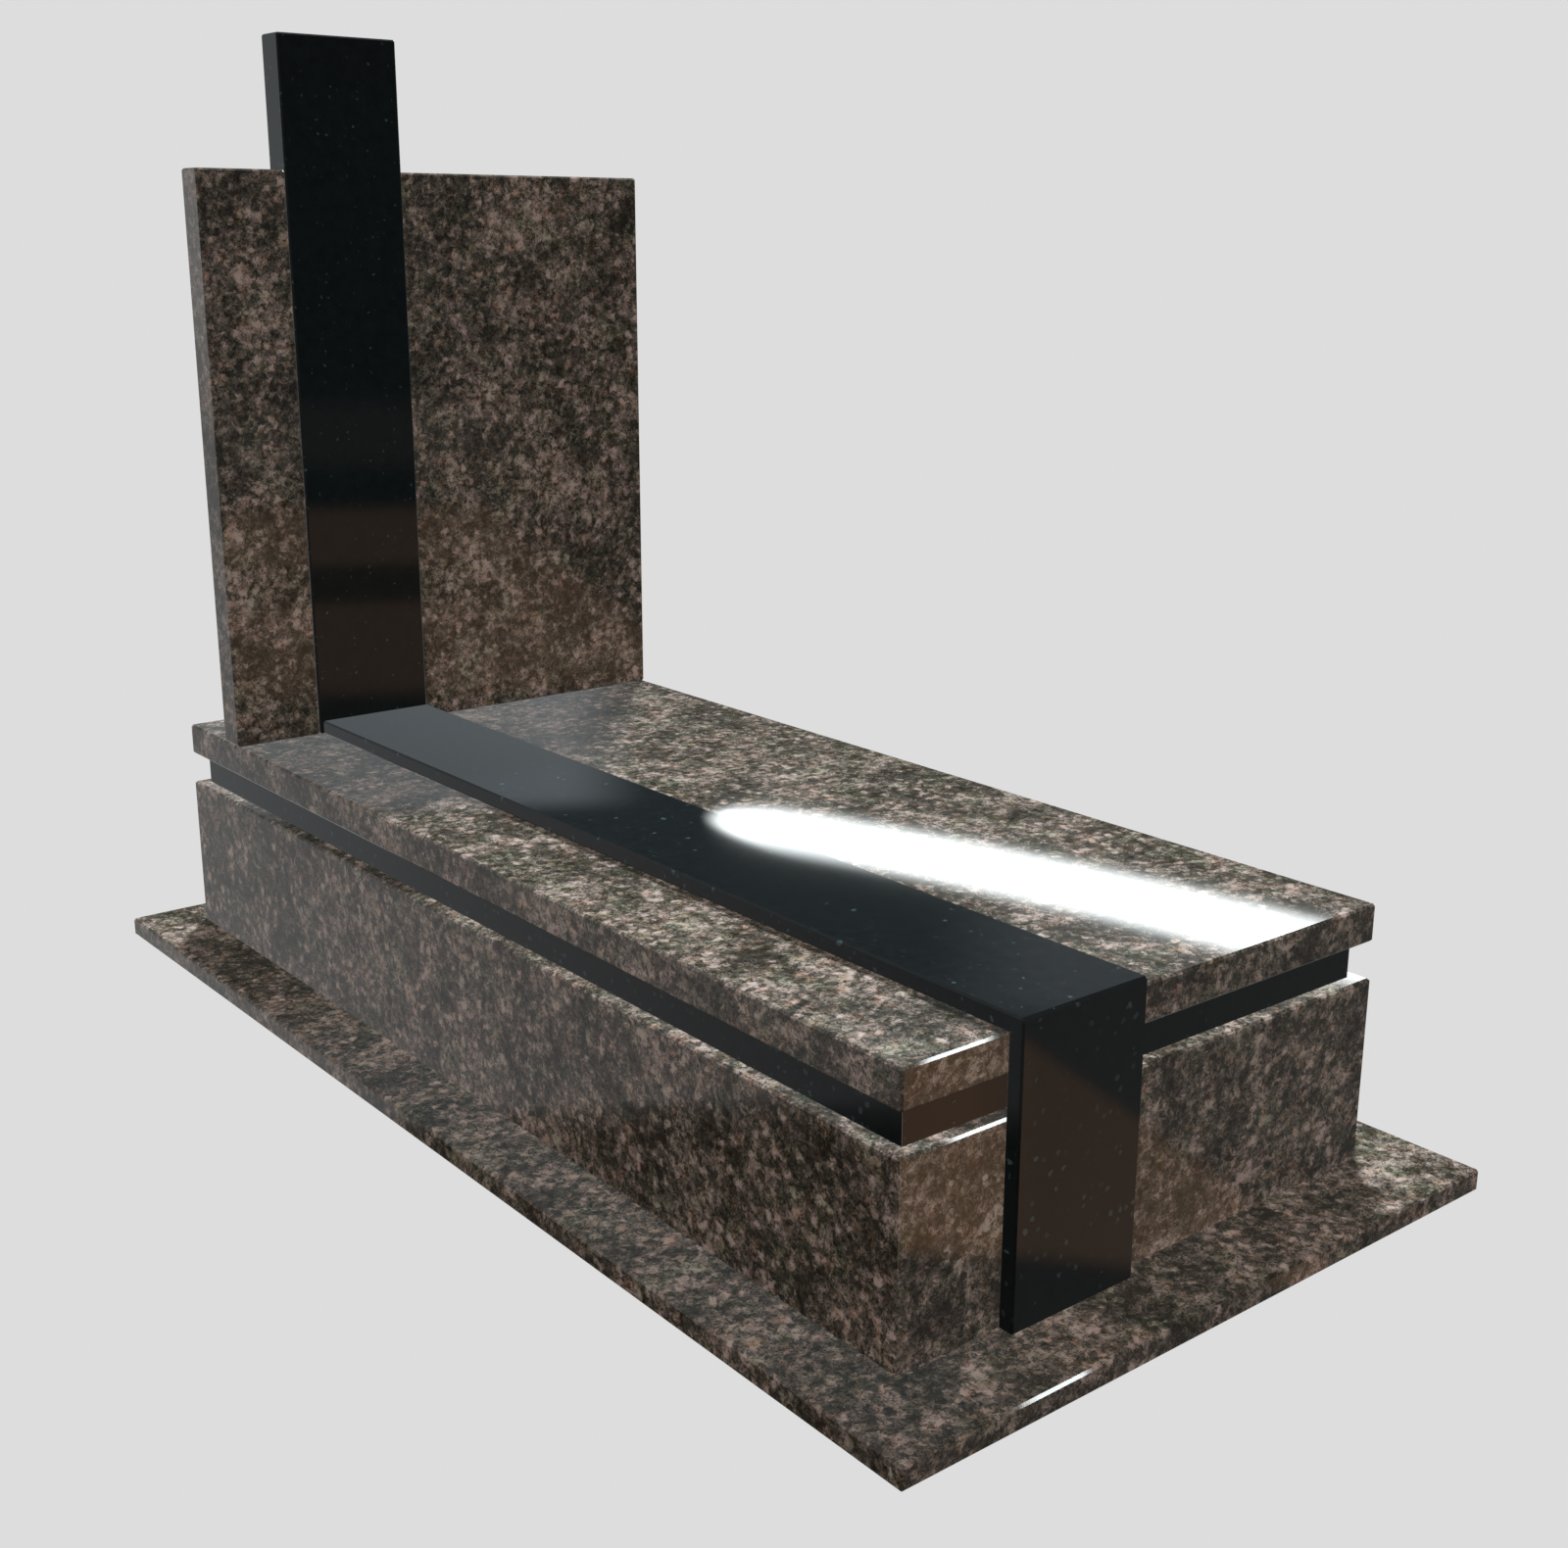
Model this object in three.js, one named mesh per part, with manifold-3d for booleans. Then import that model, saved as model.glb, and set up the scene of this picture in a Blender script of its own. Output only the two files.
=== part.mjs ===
// A family grave monument of polished granite, standing on its own base slab.
// Millimetres, +Z up. The foot end faces -Y and the headstone stands at the +Y end.
// The origin is on the underside, at the middle of the base slab.

import * as THREE from 'three';
import { mergeVertices } from 'three/addons/utils/BufferGeometryUtils.js';
import Module from 'manifold-3d';

const wasm = await Module();
wasm.setup();

// Driving dimensions

const BASE = { width: 1000, length: 2000, height: 30 };
const KERB = { width: 800, length: 1800, height: 250, wall: 50 };
const FOOT_MARGIN = 120;        // base slab that shows in front of the kerb
const BAND = { inset: 20, height: 50, wall: 30 };
const COVER_HEIGHT = 50;
const HEADSTONE = { height: 900, thickness: 55, behind: 143 };
const UPRIGHT = { left: -256, width: 200, height: 1100 };
const STRIPE = { left: -251, width: 195, thickness: 22 };

const GRANITE_ARRIS = 3;        // flat chamfer on every visible edge of the brown slabs
const BLACK_ARRIS = 2.5;        // the same on the black slabs
const JOINT = 0.4;              // glue line between neighbouring stones

// Levels and faces that follow from them

const baseTop = BASE.height;
const kerbTop = baseTop + KERB.height;
const bandTop = kerbTop + BAND.height;
const coverTop = bandTop + COVER_HEIGHT;
const stripeTop = coverTop + STRIPE.thickness;

const footFace = -BASE.length / 2 + FOOT_MARGIN;
const headFace = footFace + KERB.length;
const kerbCentreY = (footFace + headFace) / 2;
const headstoneBack = headFace - HEADSTONE.behind;
const headstoneFront = headstoneBack - HEADSTONE.thickness;
const dropFront = footFace - JOINT - STRIPE.thickness;

// Polished granites

const brownGranite = { color: 0x5f554c, roughness: 0.18, metalness: 0 };
const blackGranite = { color: 0x141617, roughness: 0.12, metalness: 0 };

const monument = new THREE.Group();

function addStone(name, geometry, finish) {
  geometry.computeVertexNormals();
  const stone = new THREE.Mesh(geometry, new THREE.MeshStandardMaterial(finish));
  stone.name = name;
  monument.add(stone);
  return stone;
}

// A sawn slab between two corners, with a flat chamfer along all its edges

function slab([x0, y0, z0], [x1, y1, z1], arris) {
  const outline = new THREE.Shape();
  outline.moveTo(x0 + arris, y0);
  outline.lineTo(x1 - arris, y0);
  outline.lineTo(x1, y0 + arris);
  outline.lineTo(x1, y1 - arris);
  outline.lineTo(x1 - arris, y1);
  outline.lineTo(x0 + arris, y1);
  outline.lineTo(x0, y1 - arris);
  outline.lineTo(x0, y0 + arris);
  outline.closePath();
  const geometry = new THREE.ExtrudeGeometry(outline, {
    depth: z1 - z0 - 2 * arris,
    bevelEnabled: true,
    bevelThickness: arris,
    bevelSize: arris,
    bevelOffset: -arris,
    bevelSegments: 1,
  });
  return geometry.translate(0, 0, z0 + arris);
}

// Turns a section that is drawn in y and z, and extruded, so that it runs along X

const alongX = new THREE.Matrix4().makeBasis(
  new THREE.Vector3(0, 1, 0),
  new THREE.Vector3(0, 0, 1),
  new THREE.Vector3(1, 0, 0),
);

// One side of a rectangular ring of stone, mitred at both ends. The profile's x runs inwards
// from the outer face and its y runs up. The side lies along X, with its outer face on y = 0.

function mitredSide(profile, length) {
  const run = length - JOINT;
  const geometry = new THREE.ExtrudeGeometry(profile, { depth: run, bevelEnabled: false });
  geometry.translate(0, 0, -run / 2);
  const corners = geometry.getAttribute('position');
  for (let i = 0; i < corners.count; i += 1) {
    const end = Math.sign(corners.getZ(i));
    corners.setZ(i, corners.getZ(i) - end * corners.getX(i));
  }
  return geometry.applyMatrix4(alongX);
}

// Four mitred sides around the kerb's centre, turned a quarter each

function addRing(name, profile, width, length, bottom, finish) {
  const sides = [
    { side: 'foot', run: width, reach: length / 2, turn: 0 },
    { side: 'right', run: length, reach: width / 2, turn: 1 },
    { side: 'head', run: width, reach: length / 2, turn: 2 },
    { side: 'left', run: length, reach: width / 2, turn: 3 },
  ];
  for (const { side, run, reach, turn } of sides) {
    const geometry = mitredSide(profile, run).translate(0, -reach, bottom);
    const stone = addStone(`${name}_${side}`, geometry, finish);
    stone.rotation.z = turn * Math.PI / 2;
    stone.position.y = kerbCentreY;
  }
}

function kerbProfile() {
  const profile = new THREE.Shape();
  profile.moveTo(0, 0);
  profile.lineTo(KERB.wall, 0);
  profile.lineTo(KERB.wall, KERB.height);
  profile.lineTo(GRANITE_ARRIS, KERB.height);
  profile.lineTo(0, KERB.height - GRANITE_ARRIS);
  profile.closePath();
  return profile;
}

function bandProfile() {
  const profile = new THREE.Shape();
  profile.moveTo(0, 0);
  profile.lineTo(BAND.wall, 0);
  profile.lineTo(BAND.wall, BAND.height);
  profile.lineTo(0, BAND.height);
  profile.closePath();
  return profile;
}

// Cutting one solid away from another

function solidOf(geometry) {
  const bare = new THREE.BufferGeometry();
  bare.setAttribute('position', geometry.getAttribute('position').clone());
  const merged = mergeVertices(bare, 1e-4);
  return new wasm.Manifold(new wasm.Mesh({
    numProp: 3,
    vertProperties: new Float32Array(merged.getAttribute('position').array),
    triVerts: new Uint32Array(merged.getIndex().array),
  }));
}

function cutAway(geometry, cutter) {
  const mesh = solidOf(geometry).subtract(solidOf(cutter)).getMesh();
  const cut = new THREE.BufferGeometry();
  cut.setAttribute('position', new THREE.BufferAttribute(mesh.vertProperties, 3));
  cut.setIndex(new THREE.BufferAttribute(mesh.triVerts, 1));
  return cut.toNonIndexed();
}

// The saw's wedge for a mitre, wider than the stripe: a triangle in y and z

function wedgeAcrossStripe(corners) {
  const outline = new THREE.Shape(corners.map(([y, z]) => new THREE.Vector2(y, z)));
  const overrun = STRIPE.thickness;
  const width = STRIPE.width + 2 * overrun;
  const wedge = new THREE.ExtrudeGeometry(outline, { depth: width, bevelEnabled: false });
  return wedge.applyMatrix4(alongX).translate(STRIPE.left - overrun, 0, 0);
}

// Base slab, kerb, recessed band and cover

function addTomb() {
  const halfWidth = BASE.width / 2;
  const halfLength = BASE.length / 2;
  const base = slab([-halfWidth, -halfLength, 0], [halfWidth, halfLength, baseTop], GRANITE_ARRIS);
  addStone('base_slab', base, brownGranite);

  addRing('kerb', kerbProfile(), KERB.width, KERB.length, baseTop, brownGranite);

  const bandWidth = KERB.width - 2 * BAND.inset;
  const bandLength = KERB.length - 2 * BAND.inset;
  addRing('band', bandProfile(), bandWidth, bandLength, kerbTop, blackGranite);

  const halfKerb = KERB.width / 2;
  const cover = slab([-halfKerb, footFace, bandTop], [halfKerb, headFace, coverTop], GRANITE_ARRIS);
  addStone('cover_slab', cover, brownGranite);
}

// Headstone: two brown slabs with a taller black upright between them

function addHeadstone() {
  const halfKerb = KERB.width / 2;
  const uprightRight = UPRIGHT.left + UPRIGHT.width;
  const top = coverTop + HEADSTONE.height;

  const left = slab(
    [-halfKerb, headstoneFront, coverTop],
    [UPRIGHT.left - JOINT, headstoneBack, top],
    GRANITE_ARRIS,
  );
  addStone('headstone_left', left, brownGranite);

  const right = slab(
    [uprightRight + JOINT, headstoneFront, coverTop],
    [halfKerb, headstoneBack, top],
    GRANITE_ARRIS,
  );
  addStone('headstone_right', right, brownGranite);

  const upright = slab(
    [UPRIGHT.left, headstoneFront, coverTop],
    [uprightRight, headstoneBack, coverTop + UPRIGHT.height],
    BLACK_ARRIS,
  );
  addStone('headstone_upright', upright, blackGranite);
}

// Black stripe: a plate along the cover and a plate that drops over the foot, mitred together.
// The mitre runs down from the outer edge, at dropFront and stripeTop, to the cover's edge.

function addStripe() {
  const right = STRIPE.left + STRIPE.width;
  const dropBack = dropFront + STRIPE.thickness;
  const overrun = STRIPE.thickness;
  const outer = [dropFront - overrun, stripeTop + overrun];
  const inner = [dropBack + overrun, coverTop - overrun];
  const below = [outer[0], inner[1]];
  const above = [inner[0], outer[1]];
  const halfJoint = JOINT / 2;

  const plate = slab(
    [STRIPE.left, dropFront, coverTop],
    [right, headstoneFront - JOINT, stripeTop],
    BLACK_ARRIS,
  );
  const underMitre = wedgeAcrossStripe([outer, below, inner]).translate(0, halfJoint, 0);
  addStone('stripe_plate', cutAway(plate, underMitre), blackGranite);

  const drop = slab(
    [STRIPE.left, dropFront, baseTop],
    [right, dropBack, stripeTop],
    BLACK_ARRIS,
  );
  const overMitre = wedgeAcrossStripe([outer, inner, above]).translate(0, -halfJoint, 0);
  addStone('stripe_drop', cutAway(drop, overMitre), blackGranite);
}

addTomb();
addHeadstone();
addStripe();

export default monument;
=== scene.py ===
"""A grave monument of polished brown and black granite, in a plain pale studio."""

import math

import bpy
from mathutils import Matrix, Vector


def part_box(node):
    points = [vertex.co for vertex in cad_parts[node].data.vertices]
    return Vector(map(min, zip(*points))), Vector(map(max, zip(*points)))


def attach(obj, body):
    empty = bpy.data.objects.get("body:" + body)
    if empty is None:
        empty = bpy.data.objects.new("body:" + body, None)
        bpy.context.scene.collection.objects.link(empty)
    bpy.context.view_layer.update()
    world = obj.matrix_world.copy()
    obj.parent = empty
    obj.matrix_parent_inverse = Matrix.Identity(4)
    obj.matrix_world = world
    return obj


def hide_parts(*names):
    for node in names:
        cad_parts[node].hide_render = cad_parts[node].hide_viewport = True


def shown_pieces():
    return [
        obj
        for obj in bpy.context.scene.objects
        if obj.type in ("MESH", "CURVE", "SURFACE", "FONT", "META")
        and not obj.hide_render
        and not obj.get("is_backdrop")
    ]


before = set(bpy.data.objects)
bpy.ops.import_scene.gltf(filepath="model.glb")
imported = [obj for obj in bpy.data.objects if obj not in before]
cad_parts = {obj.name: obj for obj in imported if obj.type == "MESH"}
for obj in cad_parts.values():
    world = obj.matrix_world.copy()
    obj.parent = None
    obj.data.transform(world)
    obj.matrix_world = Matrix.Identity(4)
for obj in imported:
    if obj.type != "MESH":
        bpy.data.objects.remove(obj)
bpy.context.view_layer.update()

MM = 0.001

# The masons' edges, and how near an edge lies to the place where an arris is wanted

GRANITE_ARRIS = 3 * MM
BLACK_ARRIS = 2.5 * MM
EDGE_TOLERANCE = 0.1 * MM

# Polish: the roughness that is left, and the stone's refraction

GRANITE_POLISH = 0.03
GRANITE_REFRACTION = 1.65
BLACK_POLISH = 0.03
BLACK_REFRACTION = 1.5

# Brown granite: how many of each a metre holds, how far the grains bend, and the colours

CLOUDS = 14
OLIVE_PATCHES = 26
BLACK_SPECKS = 30
RUST_PATCHES = 52
PALE_GRAINS = 55
MOTTLES = 60
GRAIN_BENDS = 90
GRAIN_BEND_REACH = 12 * MM
DARK_VEINS = 95
CRYSTALS = 120
FINE_CRYSTALS = 300

MINERALS = (
    (0.00, (0.013, 0.008, 0.005)),
    (0.26, (0.032, 0.025, 0.017)),
    (0.42, (0.062, 0.049, 0.036)),
    (0.56, (0.122, 0.094, 0.072)),
    (0.70, (0.238, 0.174, 0.139)),
    (0.90, (0.402, 0.301, 0.251)),
)
OLIVE_TINT = (0.76, 0.94, 0.82, 1)
RUST_TINT = (1.0, 0.74, 0.62, 1)
SPECK_BLACK = (0.008, 0.008, 0.007, 1)

# Black granite, in the same way

FLECKS = 85
FLECK_BENDS = 130
FLECK_BEND_REACH = 9 * MM
BLACK_CLOUDS = 60
BLACK_GROUND = (
    (0.3, (0.0036, 0.0044, 0.0044)),
    (0.7, (0.0062, 0.0078, 0.0078)),
)
FLECK_TEAL = (0.042, 0.065, 0.063, 1)

# The camera, from the photograph's perspective

CAMERA_PLACE = (-1.6078, -2.1898, 1.1820)
CAMERA_TURNS_DEG = (74.416, -0.160, -38.800)
LENS_MM = 44.226
SENSOR_MM = 36

# Studio. A bearing is 0 degrees at +Y and 90 degrees at +X.

FLOOR_WIDTH = 80
PALE_BACKDROP = (0.723, 0.723, 0.723, 1)
AMBIENT_BELOW = (0.15, 0.14, 0.14, 1)
AMBIENT_ABOVE = (0.83, 0.84, 0.86, 1)
KEY_BEARING_DEG = 43
KEY_HEIGHT_DEG = 52.6
KEY_SPREAD_DEG = 6
KEY_STRENGTH = 6.0
KEY_COLOUR = (0.86, 1.04, 1.18)

ROOM_FROM_FLOOR_TO_CEILING = (
    (0.00, (0.05, 0.05, 0.05)),
    (0.30, (0.13, 0.13, 0.13)),
    (0.34, (0.10, 0.10, 0.10)),
    (0.47, (0.05, 0.06, 0.06)),
    (0.62, (0.04, 0.05, 0.05)),
    (0.70, (0.12, 0.12, 0.12)),
    (1.00, (0.60, 0.60, 0.60)),
)
WALL_BEARINGS = (-60, 34)
WALL_FROM_LEFT_TO_RIGHT = (
    (0.00, (0.13, 0.13, 0.13)),
    (0.15, (0.19, 0.19, 0.20)),
    (0.28, (0.29, 0.29, 0.30)),
    (0.41, (0.42, 0.43, 0.44)),
    (0.55, (0.46, 0.47, 0.48)),
    (0.90, (0.26, 0.30, 0.32)),
    (1.00, (0.35, 0.39, 0.42)),
)
HIGH_WALL = (0.45, 0.48, 0.49, 1)
BRIGHT_STRIP = (0.60, 0.61, 0.62, 1)
UPPER_HAZE = (0.15, 0.19, 0.21, 1)
DARK_FLOOR = (0.03, 0.03, 0.03, 1)
RIGHT_FLOOR = (0.22, 0.17, 0.145, 1)
RIGHT_WALL = (0.34, 0.35, 0.36, 1)
LEFT_CEILING = (0.30, 0.31, 0.32, 1)
LEFT_WINDOW = (1.3, 1.35, 1.4, 1)
FOOT_WINDOW = (0.9, 0.95, 1.0, 1)
NEUTRAL_FLOOR = (0.145, 0.15, 0.15, 1)
WARM_FLOOR = (0.38, 0.255, 0.18, 1)
WARMEST_FLOOR = (0.58, 0.34, 0.21, 1)
DARK_STRIP = (0.10, 0.09, 0.07, 1)
DARK_WALL = (0.04, 0.06, 0.07, 1)
GREY_STRIP = (0.13, 0.135, 0.135, 1)
LAMP_HALO = (0.19, 0.21, 0.22, 1)
LAMP_ROW = (8.0, 8.6, 8.7, 1)
GLINT_LAMP = (14.0, 15.0, 15.2, 1)


# Modelling


def deselect_everything():
    if bpy.context.object and bpy.context.object.mode != "OBJECT":
        bpy.ops.object.mode_set(mode="OBJECT")
    bpy.ops.object.select_all(action="DESELECT")


def sawn_block(name, low, high):
    """A block from the saw, between two corners, with its place in its mesh."""
    deselect_everything()
    bpy.ops.mesh.primitive_cube_add(size=1, location=(low + high) / 2)
    block = bpy.context.object
    block.name = name
    block.data.name = name
    bpy.ops.object.mode_set(mode="EDIT")
    bpy.ops.mesh.select_all(action="SELECT")
    bpy.ops.transform.resize(value=high - low)
    bpy.ops.object.mode_set(mode="OBJECT")
    bpy.ops.object.transform_apply(location=True, rotation=True, scale=True)
    return block


def chamfer(block, width, wanted=lambda middle: True):
    """A flat 45 degree arris on the edges that are wanted, by their middle."""
    mesh = block.data
    bpy.ops.object.mode_set(mode="EDIT")
    bpy.ops.mesh.select_mode(type="EDGE")
    bpy.ops.mesh.select_all(action="DESELECT")
    bpy.ops.object.mode_set(mode="OBJECT")
    for edge in mesh.edges:
        a, b = (mesh.vertices[v].co for v in edge.vertices)
        edge.select = wanted((a + b) / 2)
    bpy.ops.object.mode_set(mode="EDIT")
    bpy.ops.mesh.bevel(offset_type="OFFSET", offset=width, segments=1, affect="EDGES")
    bpy.ops.object.mode_set(mode="OBJECT")


def saw_off(block, point, normal):
    """Cuts away what lies on the side that the normal points to, and closes the cut."""
    bpy.ops.object.mode_set(mode="EDIT")
    bpy.ops.mesh.select_all(action="SELECT")
    bpy.ops.mesh.bisect(plane_co=point, plane_no=normal, use_fill=True, clear_outer=True)
    bpy.ops.object.mode_set(mode="OBJECT")


def set_in_place(block, node, stone):
    """The finished stone stands for its CAD node."""
    block.data.materials.clear()
    block.data.materials.append(stone)
    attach(block, "root")
    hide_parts(node)


# Node helpers


def add_node(tree, kind, **settings):
    node = tree.nodes.new(kind)
    for key, value in settings.items():
        setattr(node, key, value)
    return node


def connect(tree, value, socket):
    """A number or colour is set on the socket, and an output is linked to it."""
    if isinstance(value, bpy.types.NodeSocket):
        tree.links.new(value, socket)
    else:
        socket.default_value = value


def arithmetic(tree, operation, a, b=0.0, c=0.0):
    node = add_node(tree, "ShaderNodeMath", operation=operation)
    for value, socket in zip((a, b, c), node.inputs):
        connect(tree, value, socket)
    return node.outputs[0]


def product(tree, first, *others):
    for other in others:
        first = arithmetic(tree, "MULTIPLY", first, other)
    return first


def ramp(tree, value, low, high, out_low=0.0, out_high=1.0, shape="SMOOTHSTEP"):
    node = add_node(tree, "ShaderNodeMapRange", interpolation_type=shape)
    for key, given in (
        ("Value", value),
        ("From Min", low),
        ("From Max", high),
        ("To Min", out_low),
        ("To Max", out_high),
    ):
        connect(tree, given, node.inputs[key])
    return node.outputs[0]


def straight_ramp(tree, value, low, high, out_low=0.0, out_high=1.0):
    return ramp(tree, value, low, high, out_low, out_high, shape="LINEAR")


def blend(tree, share, a, b, mode="MIX"):
    node = add_node(tree, "ShaderNodeMix", data_type="RGBA", blend_type=mode)
    connect(tree, share, node.inputs["Factor"])
    connect(tree, a, node.inputs[6])
    connect(tree, b, node.inputs[7])
    return node.outputs[2]


def colour_ramp(tree, value, stops):
    node = add_node(tree, "ShaderNodeValToRGB")
    elements = node.color_ramp.elements
    while len(elements) < len(stops):
        elements.new(0.5)
    for element, (place, colour) in zip(elements, stops):
        element.position = place
        element.color = (*colour, 1)
    connect(tree, value, node.inputs["Fac"])
    return node.outputs["Color"]


def noise(tree, where, scale, detail, roughness, distortion=0.0, channel="Fac"):
    node = add_node(tree, "ShaderNodeTexNoise")
    connect(tree, where, node.inputs["Vector"])
    node.inputs["Scale"].default_value = scale
    node.inputs["Detail"].default_value = detail
    node.inputs["Roughness"].default_value = roughness
    node.inputs["Distortion"].default_value = distortion
    return node.outputs[channel]


def cells(tree, where, scale):
    """Cells of one grain each: the distance from the grain's middle, and its random numbers."""
    pattern = add_node(tree, "ShaderNodeTexVoronoi")
    connect(tree, where, pattern.inputs["Vector"])
    pattern.inputs["Scale"].default_value = scale
    chances = add_node(tree, "ShaderNodeSeparateColor")
    connect(tree, pattern.outputs["Color"], chances.inputs[0])
    return pattern.outputs["Distance"], chances.outputs


def off_middle(tree, value, gain, middle=0.5):
    """How far a value is from its middle, times a gain."""
    return arithmetic(tree, "MULTIPLY_ADD", value, gain, -gain * middle)


# Stone


def new_stone(name, polish, refraction):
    material = bpy.data.materials.new(name)
    material.use_nodes = True
    tree = material.node_tree
    shader = tree.nodes["Principled BSDF"]
    shader.inputs["Roughness"].default_value = polish
    shader.inputs["IOR"].default_value = refraction
    return material, tree, shader


def quarry_place(tree, shift):
    """Where in the quarry this stone was cut: every stone has a pattern of its own."""
    mapping = add_node(tree, "ShaderNodeMapping")
    mapping.inputs["Location"].default_value = shift
    place = add_node(tree, "ShaderNodeTexCoord").outputs["Object"]
    connect(tree, place, mapping.inputs["Vector"])
    return mapping.outputs["Vector"]


def warped(tree, where, scale, reach):
    """Bends the pattern, so that no grain is round."""
    bend = noise(tree, where, scale, detail=2, roughness=0.5, channel="Color")
    centred = add_node(tree, "ShaderNodeVectorMath", operation="SUBTRACT")
    connect(tree, bend, centred.inputs[0])
    centred.inputs[1].default_value = (0.5, 0.5, 0.5)
    scaled = add_node(tree, "ShaderNodeVectorMath", operation="SCALE")
    connect(tree, centred.outputs[0], scaled.inputs[0])
    scaled.inputs["Scale"].default_value = reach
    moved = add_node(tree, "ShaderNodeVectorMath", operation="ADD")
    connect(tree, where, moved.inputs[0])
    connect(tree, scaled.outputs[0], moved.inputs[1])
    return moved.outputs[0]


def grain_tone(tree, where, bent):
    """From 0, the darkest mineral, to 1, the palest: pale grains, cut by dark curling veins."""
    distance, chances = cells(tree, bent, PALE_GRAINS)
    body = ramp(tree, distance, 0.05, 0.6, 1, 0)
    pale = product(tree, body, ramp(tree, chances[0], 0.3, 0.9))
    ripple = arithmetic(tree, "SUBTRACT", noise(tree, bent, DARK_VEINS, detail=3, roughness=0.6), 0.5)
    vein = ramp(tree, arithmetic(tree, "ABSOLUTE", ripple), 0.0, 0.05, 1, 0)
    crystal = cells(tree, bent, CRYSTALS)[1][0]
    clouds = noise(tree, where, CLOUDS, detail=3, roughness=0.55, distortion=0.5)
    tone = off_middle(tree, clouds, gain=0.66)
    for part in (
        off_middle(tree, noise(tree, bent, MOTTLES, detail=4, roughness=0.72), gain=0.78),
        off_middle(tree, crystal, gain=0.20),
        off_middle(tree, noise(tree, bent, FINE_CRYSTALS, detail=1, roughness=0.5), gain=0.30),
        off_middle(tree, pale, gain=0.26, middle=0.25),
        off_middle(tree, vein, gain=-0.20, middle=0.28),
    ):
        tone = arithmetic(tree, "ADD", tone, part)
    return straight_ramp(tree, tone, -0.378, 0.322)


def brown_granite(name, shift):
    """Pale and dark minerals with olive and rust patches, and a few black specks."""
    material, tree, shader = new_stone(name, GRANITE_POLISH, GRANITE_REFRACTION)
    where = quarry_place(tree, shift)
    bent = warped(tree, where, GRAIN_BENDS, GRAIN_BEND_REACH)
    colour = colour_ramp(tree, grain_tone(tree, where, bent), MINERALS)
    patches = noise(tree, where, OLIVE_PATCHES, detail=3, roughness=0.55)
    olive = ramp(tree, patches, 0.47, 0.66, 0, 0.7)
    colour = blend(tree, olive, colour, OLIVE_TINT, "MULTIPLY")
    patches = noise(tree, bent, RUST_PATCHES, detail=3, roughness=0.6)
    rust = ramp(tree, patches, 0.50, 0.66, 0, 0.7)
    colour = blend(tree, rust, colour, RUST_TINT, "MULTIPLY")

    distance, chances = cells(tree, bent, BLACK_SPECKS)
    size = straight_ramp(tree, chances[1], 0.72, 1.0, 0.0, 0.14)
    past_rim = arithmetic(tree, "SUBTRACT", distance, size)
    colour = blend(tree, ramp(tree, past_rim, -0.06, 0.05, 0.8, 0), colour, SPECK_BLACK)
    connect(tree, colour, shader.inputs["Base Color"])
    return material


def black_granite(name, shift):
    """Nearly plain, with small pale flecks."""
    material, tree, shader = new_stone(name, BLACK_POLISH, BLACK_REFRACTION)
    where = quarry_place(tree, shift)
    clouds = noise(tree, where, BLACK_CLOUDS, detail=4, roughness=0.6)
    ground = colour_ramp(tree, clouds, BLACK_GROUND)

    distance, chances = cells(tree, warped(tree, where, FLECK_BENDS, FLECK_BEND_REACH), FLECKS)
    chosen = ramp(tree, chances[0], 0.45, 0.60)
    size = arithmetic(tree, "MULTIPLY", chances[1], 0.30)
    inside = ramp(tree, arithmetic(tree, "SUBTRACT", distance, size), -0.04, 0.10, 1, 0)
    strength = arithmetic(tree, "POWER", chances[2], 1.7)
    colour = blend(tree, product(tree, chosen, inside, strength), ground, FLECK_TEAL)
    connect(tree, colour, shader.inputs["Base Color"])
    return material


# Base slab, kerb, band and cover

OUTWARD = {
    "foot": Vector((0, -1, 0)),
    "right": Vector((1, 0, 0)),
    "head": Vector((0, 1, 0)),
    "left": Vector((-1, 0, 0)),
}


def lay_plain_slab(node, stone, arris):
    low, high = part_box(node)
    block = sawn_block(node + "_stone", low, high)
    chamfer(block, arris)
    set_in_place(block, node, stone)


def lay_ring_side(node, side, stone, arris):
    """One wall of the kerb or the band, mitred at both ends, with its arris on the outer top edge."""
    low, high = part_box(node)
    outward = OUTWARD[side]
    along = Vector((abs(outward.y), abs(outward.x), 0))
    reach = max(low.dot(outward), high.dot(outward))
    block = sawn_block(node + "_stone", low, high)

    def on_outer_top_edge(middle):
        at_face = abs(middle.dot(outward) - reach) < EDGE_TOLERANCE
        return at_face and abs(middle.z - high.z) < EDGE_TOLERANCE

    if arris:
        chamfer(block, arris, on_outer_top_edge)
    for end, corner in ((-1, low), (1, high)):
        tip = along * corner.dot(along) + outward * reach
        saw_off(block, tip, (along * end - outward).normalized())
    set_in_place(block, node, stone)


def lay_tomb():
    base = brown_granite("brown_granite_base", (4.6, 2.9, 1.3))
    cover = brown_granite("brown_granite_cover", (7.7, 5.1, 2.3))
    kerb = brown_granite("brown_granite_kerb", (0.0, 9.3, 6.1))
    band = black_granite("black_granite_band", (2.2, 4.7, 8.9))
    lay_plain_slab("base_slab", base, GRANITE_ARRIS)
    for side in OUTWARD:
        lay_ring_side("kerb_" + side, side, kerb, GRANITE_ARRIS)
        lay_ring_side("band_" + side, side, band, 0)
    lay_plain_slab("cover_slab", cover, GRANITE_ARRIS)


# Headstone and stripe


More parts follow.
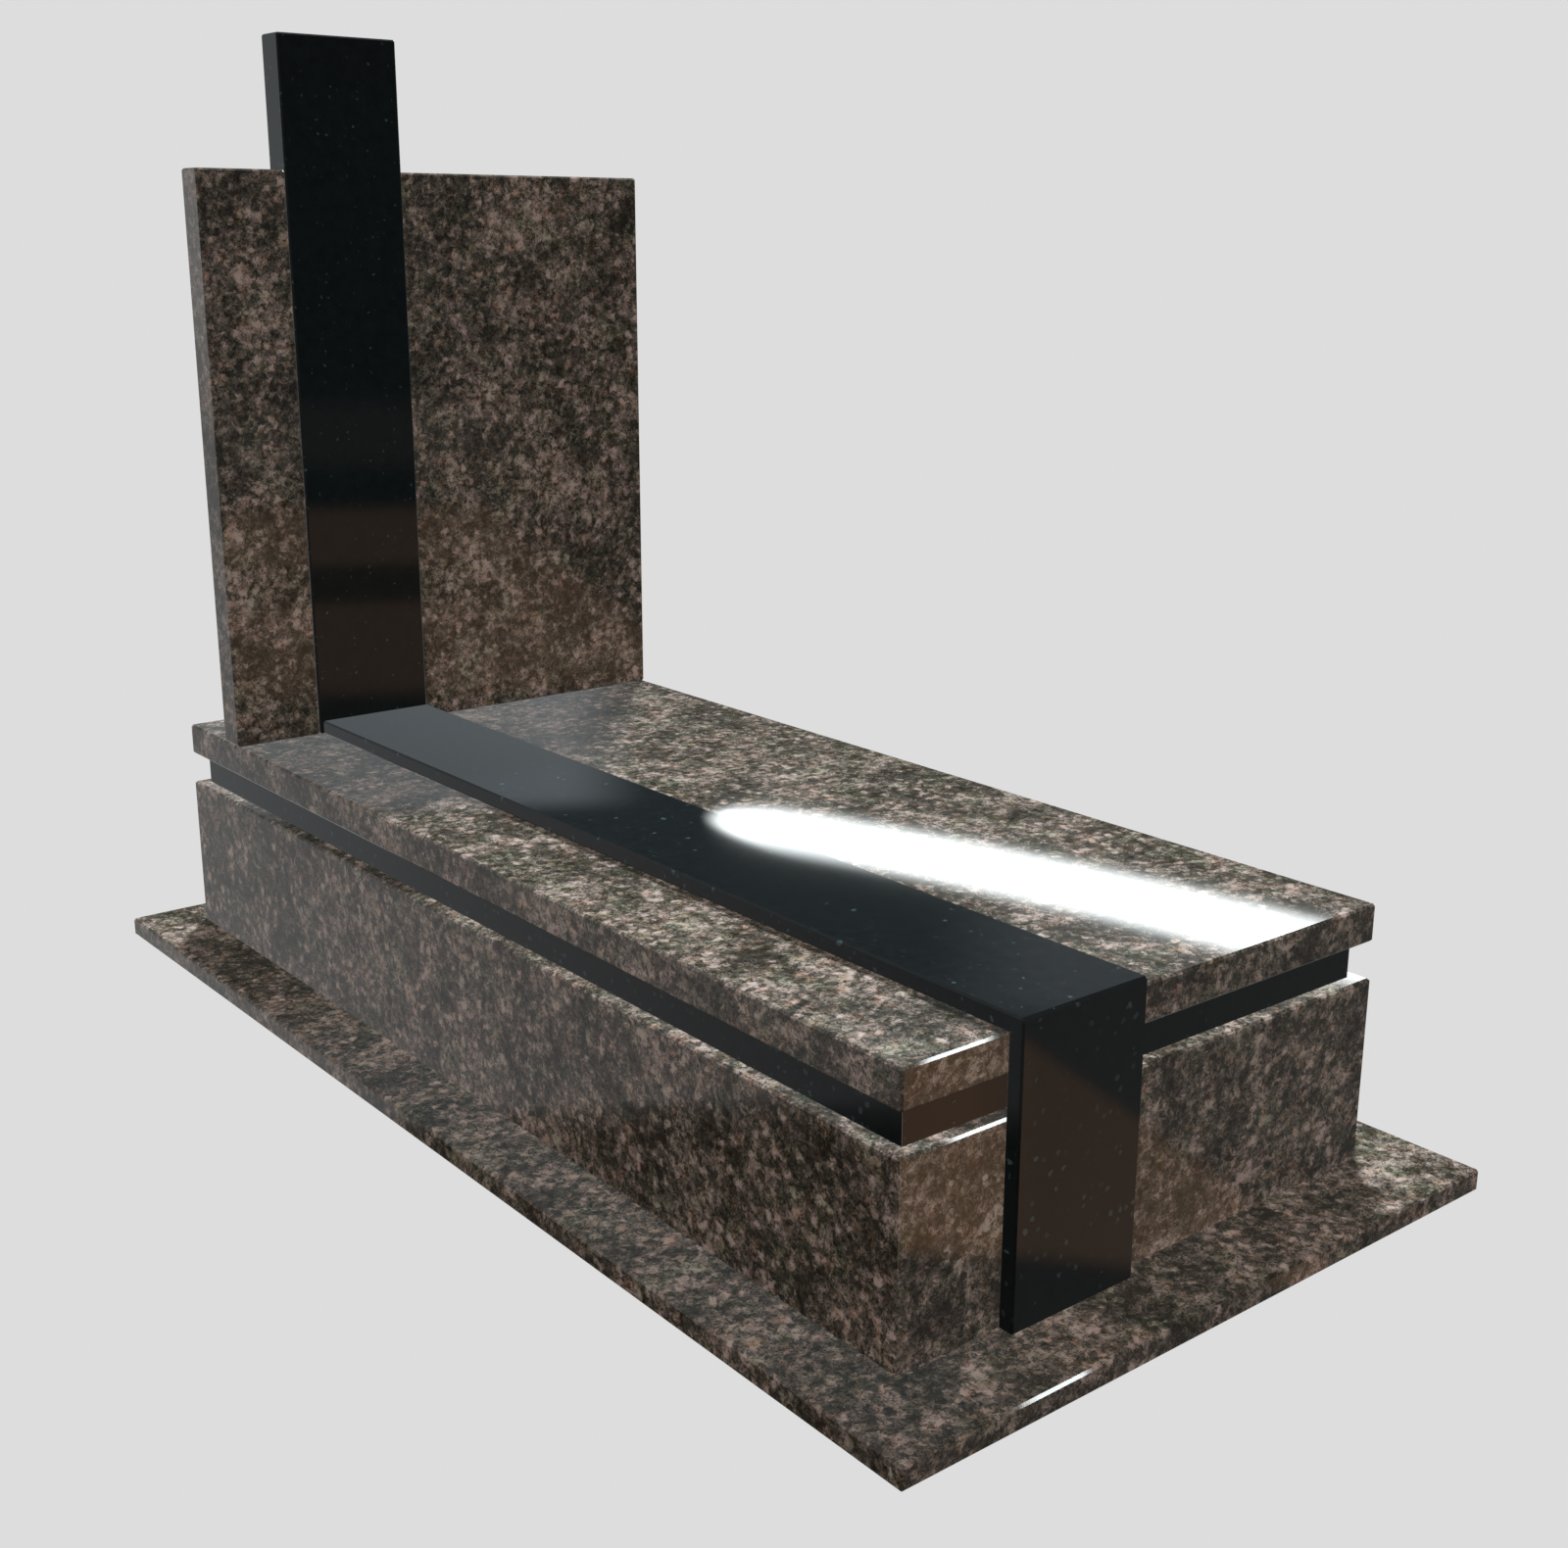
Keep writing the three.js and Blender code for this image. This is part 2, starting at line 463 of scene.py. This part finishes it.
def raise_headstone():
    left = brown_granite("brown_granite_headstone_left", (5.5, 2.8, 1.9))
    right = brown_granite("brown_granite_headstone_right", (9.4, 6.6, 3.5))
    upright = black_granite("black_granite_upright", (1.3, 8.2, 5.7))
    lay_plain_slab("headstone_left", left, GRANITE_ARRIS)
    lay_plain_slab("headstone_right", right, GRANITE_ARRIS)
    lay_plain_slab("headstone_upright", upright, BLACK_ARRIS)


def lay_stripe():
    """The plate on the cover and the plate that drops over the foot, mitred together."""
    stone = black_granite("black_granite_stripe", (6.6, 3.9, 7.2))
    plate_low, plate_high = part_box("stripe_plate")
    drop_low, drop_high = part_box("stripe_drop")
    corner = Vector((0, drop_low.y, plate_high.z))
    across_mitre = Vector((0, -1, -1)).normalized()

    plate = sawn_block("stripe_plate_stone", plate_low, plate_high)
    chamfer(plate, BLACK_ARRIS)
    saw_off(plate, corner, across_mitre)
    set_in_place(plate, "stripe_plate", stone)

    drop = sawn_block("stripe_drop_stone", drop_low, drop_high)
    chamfer(drop, BLACK_ARRIS)
    saw_off(drop, corner, -across_mitre)
    set_in_place(drop, "stripe_drop", stone)


def hide_stones_from_each_other():
    """As in the photograph, no stone mirrors another or darkens its corners; lamp shadows stay."""
    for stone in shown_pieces():
        stone.visible_glossy = False
        stone.visible_diffuse = False


# Studio


def lay_floor():
    """A floor of the backdrop's own colour, which takes no shadow."""
    deselect_everything()
    bpy.ops.mesh.primitive_plane_add(size=FLOOR_WIDTH, location=(0, 0, 0))
    floor = bpy.context.object
    floor.name = "floor"
    material = bpy.data.materials.new("pale_floor")
    material.use_nodes = True
    tree = material.node_tree
    tree.nodes.remove(tree.nodes["Principled BSDF"])
    glow = add_node(tree, "ShaderNodeEmission")
    glow.inputs["Color"].default_value = PALE_BACKDROP
    connect(tree, glow.outputs[0], tree.nodes["Material Output"].inputs["Surface"])
    floor.data.materials.append(material)
    floor.visible_diffuse = False
    floor.visible_glossy = False
    floor.visible_shadow = False
    floor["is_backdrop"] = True


def hang_panels(tree, bearing, height):
    """What the polish mirrors: a dark room with a pale wall, a warm floor and a row of lamps."""

    def leaning(lean, pivot):
        """The height above a line that leans, and that crosses height 0 at the pivot's bearing."""
        if not lean:
            return height
        past_pivot = arithmetic(tree, "SUBTRACT", bearing, pivot)
        return arithmetic(tree, "MULTIPLY_ADD", past_pivot, -lean, height)

    def panel(under, colour, bearings, heights, soft, leans=(0, 0), pivot=0, tip=0):
        """A panel between two bearings and two heights, in degrees, with soft edges.

        Its low and its high edge may lean; then their heights hold at the pivot's bearing.
        A tip makes its start round.
        """
        low_level, high_level = (leaning(lean, pivot) for lean in leans)
        start = bearing
        if tip:
            off_centre = arithmetic(tree, "SUBTRACT", high_level, sum(heights) / 2)
            start = arithmetic(tree, "MULTIPLY_ADD", product(tree, off_centre, off_centre), -tip, bearing)
        (first, last), (low, high), (side_soft, edge_soft) = bearings, heights, soft
        share = product(
            tree,
            ramp(tree, start, first - side_soft, first + side_soft),
            ramp(tree, bearing, last - side_soft, last + side_soft, 1, 0),
            ramp(tree, low_level, low - edge_soft, low + edge_soft),
            ramp(tree, high_level, high - edge_soft, high + edge_soft, 1, 0),
        )
        return blend(tree, share, under, colour)

    light = colour_ramp(tree, straight_ramp(tree, height, -90, 90), ROOM_FROM_FLOOR_TO_CEILING)
    wall = colour_ramp(tree, straight_ramp(tree, bearing, *WALL_BEARINGS), WALL_FROM_LEFT_TO_RIGHT)

    # Seen in the left faces and in the level tops
    light = panel(light, wall, (-160, 33.4), (-25.3, 16.4), (1.6, 0.3))
    light = panel(light, HIGH_WALL, (-60, -10), (0.8, 12), (4, 1.2))
    light = panel(light, BRIGHT_STRIP, (-23.5, -14), (-3.5, 12), (0.5, 2.5))
    light = panel(light, UPPER_HAZE, (-10, 46), (22.5, 37), (4, 1.6))
    light = panel(light, DARK_FLOOR, (-160, 60), (-60, -25.8), (2, 0.4))

    # Seen from the other sides
    light = panel(light, RIGHT_FLOOR, (28, 66), (-30, -8), (3, 1.5))
    light = panel(light, RIGHT_WALL, (70, 112), (-22, 20), (8, 6))
    light = panel(light, LEFT_CEILING, (-150, -2), (16, 48), (10, 5))
    light = panel(light, LEFT_WINDOW, (-60, -36), (25, 29), (3, 1))
    light = panel(light, FOOT_WINDOW, (118, 150), (13.5, 16.5), (4, 1))

    # Seen in the foot end
    light = panel(light, NEUTRAL_FLOOR, (100, 139), (-26, -10), (2, 0.4))
    light = panel(light, WARM_FLOOR, (60, 139), (-29.4, -23.5), (2, 0.35), leans=(0, 0.55), pivot=133)
    light = panel(
        light, WARMEST_FLOOR, (134, 139), (-29.4, -23.5), (1.5, 0.35), leans=(0, 0.55), pivot=133
    )

    # Seen in the headstone's front
    light = panel(light, WARM_FLOOR, (139, 175), (-12.9, -8.5), (2, 0.35), leans=(0, 0.75), pivot=149)
    light = panel(light, DARK_STRIP, (150, 175), (-10.3, -9.2), (2, 0.25))
    light = panel(light, DARK_WALL, (149.5, 175), (-7.6, 4), (0.8, 0.3))
    light = panel(light, GREY_STRIP, (149.5, 175), (-6.4, -4.6), (0.8, 0.5))

    # The white streak along the cover, and the glints on the foot's edges
    light = panel(light, LAMP_HALO, (45.3, 75), (19.5, 22.4), (2.5, 0.6))
    light = panel(
        light, LAMP_ROW, (36.7, 64), (16.42, 17.42), (0.5, 0.35), leans=(0.150, 0.168), pivot=36.6, tip=4.0
    )
    return panel(
        light, GLINT_LAMP, (120.6, 132), (38.8, 41.6), (0.4, 0.3), leans=(-0.723, -0.723), pivot=122.9
    )


def background(tree, colour):
    node = add_node(tree, "ShaderNodeBackground")
    connect(tree, colour, node.inputs["Color"])
    return node.outputs[0]


def either(tree, choice, otherwise, chosen):
    """One background or the other; the one that isn't called for takes no time."""
    node = add_node(tree, "ShaderNodeMixShader")
    connect(tree, choice, node.inputs[0])
    connect(tree, otherwise, node.inputs[1])
    connect(tree, chosen, node.inputs[2])
    return node.outputs[0]


def build_studio():
    """Panels for the polish, an even light for the stone's own colour, and a pale backdrop."""
    world = bpy.data.worlds.new("studio")
    bpy.context.scene.world = world
    world.use_nodes = True
    world.cycles.sampling_method = "NONE"
    tree = world.node_tree
    tree.nodes.remove(tree.nodes["Background"])
    direction = add_node(tree, "ShaderNodeSeparateXYZ")
    connect(tree, add_node(tree, "ShaderNodeTexCoord").outputs["Generated"], direction.inputs[0])
    x, y, z = direction.outputs
    bearing = arithmetic(tree, "DEGREES", arithmetic(tree, "ARCTAN2", x, y))
    height = arithmetic(tree, "DEGREES", arithmetic(tree, "ARCSINE", z))
    ambient = blend(tree, straight_ramp(tree, z, -1, 1), AMBIENT_BELOW, AMBIENT_ABOVE)

    rays = add_node(tree, "ShaderNodeLightPath").outputs
    seen = background(tree, hang_panels(tree, bearing, height))
    seen = either(tree, rays["Is Diffuse Ray"], seen, background(tree, ambient))
    seen = either(tree, rays["Is Camera Ray"], seen, background(tree, PALE_BACKDROP))
    connect(tree, seen, tree.nodes["World Output"].inputs["Surface"])


def hang_key_lamp(name):
    lamp_data = bpy.data.lights.new(name, "SUN")
    lamp_data.energy = KEY_STRENGTH
    lamp_data.color = KEY_COLOUR
    lamp_data.angle = math.radians(KEY_SPREAD_DEG)
    lamp = bpy.data.objects.new(name, lamp_data)
    bpy.context.scene.collection.objects.link(lamp)
    lamp.rotation_euler = (math.radians(90 - KEY_HEIGHT_DEG), 0, math.radians(180 - KEY_BEARING_DEG))
    return lamp


def stones_called(name, words, state):
    """The stones whose names start with these words, listed for a lamp: to light, or as its shade."""
    stones = bpy.data.collections.new(name)
    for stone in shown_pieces():
        if stone.name.startswith(words):
            stones.objects.link(stone)
    for entry in stones.collection_objects:
        entry.light_linking.link_state = state
    return stones


def hang_key_lamps():
    """The key light, and the same light again for the kerb, whose ledge it reaches under the cover."""
    key = hang_key_lamp("key_lamp")
    key.light_linking.receiver_collection = stones_called("all_but_kerb", "kerb", "EXCLUDE")
    ledge = hang_key_lamp("ledge_lamp")
    ledge.light_linking.receiver_collection = stones_called("kerb_stones", "kerb", "INCLUDE")
    overhang = stones_called("no_shade_from_cover", ("cover", "band"), "EXCLUDE")
    ledge.light_linking.blocker_collection = overhang


def set_camera():
    camera_data = bpy.data.cameras.new("camera")
    camera_data.lens = LENS_MM
    camera_data.sensor_width = SENSOR_MM
    camera = bpy.data.objects.new("camera", camera_data)
    bpy.context.scene.collection.objects.link(camera)
    camera.location = CAMERA_PLACE
    camera.rotation_euler = [math.radians(turn) for turn in CAMERA_TURNS_DEG]
    bpy.context.scene.camera = camera


set_camera()
lay_tomb()
raise_headstone()
lay_stripe()
hide_stones_from_each_other()
lay_floor()
build_studio()
hang_key_lamps()
bpy.context.scene.view_settings.view_transform = "Standard"
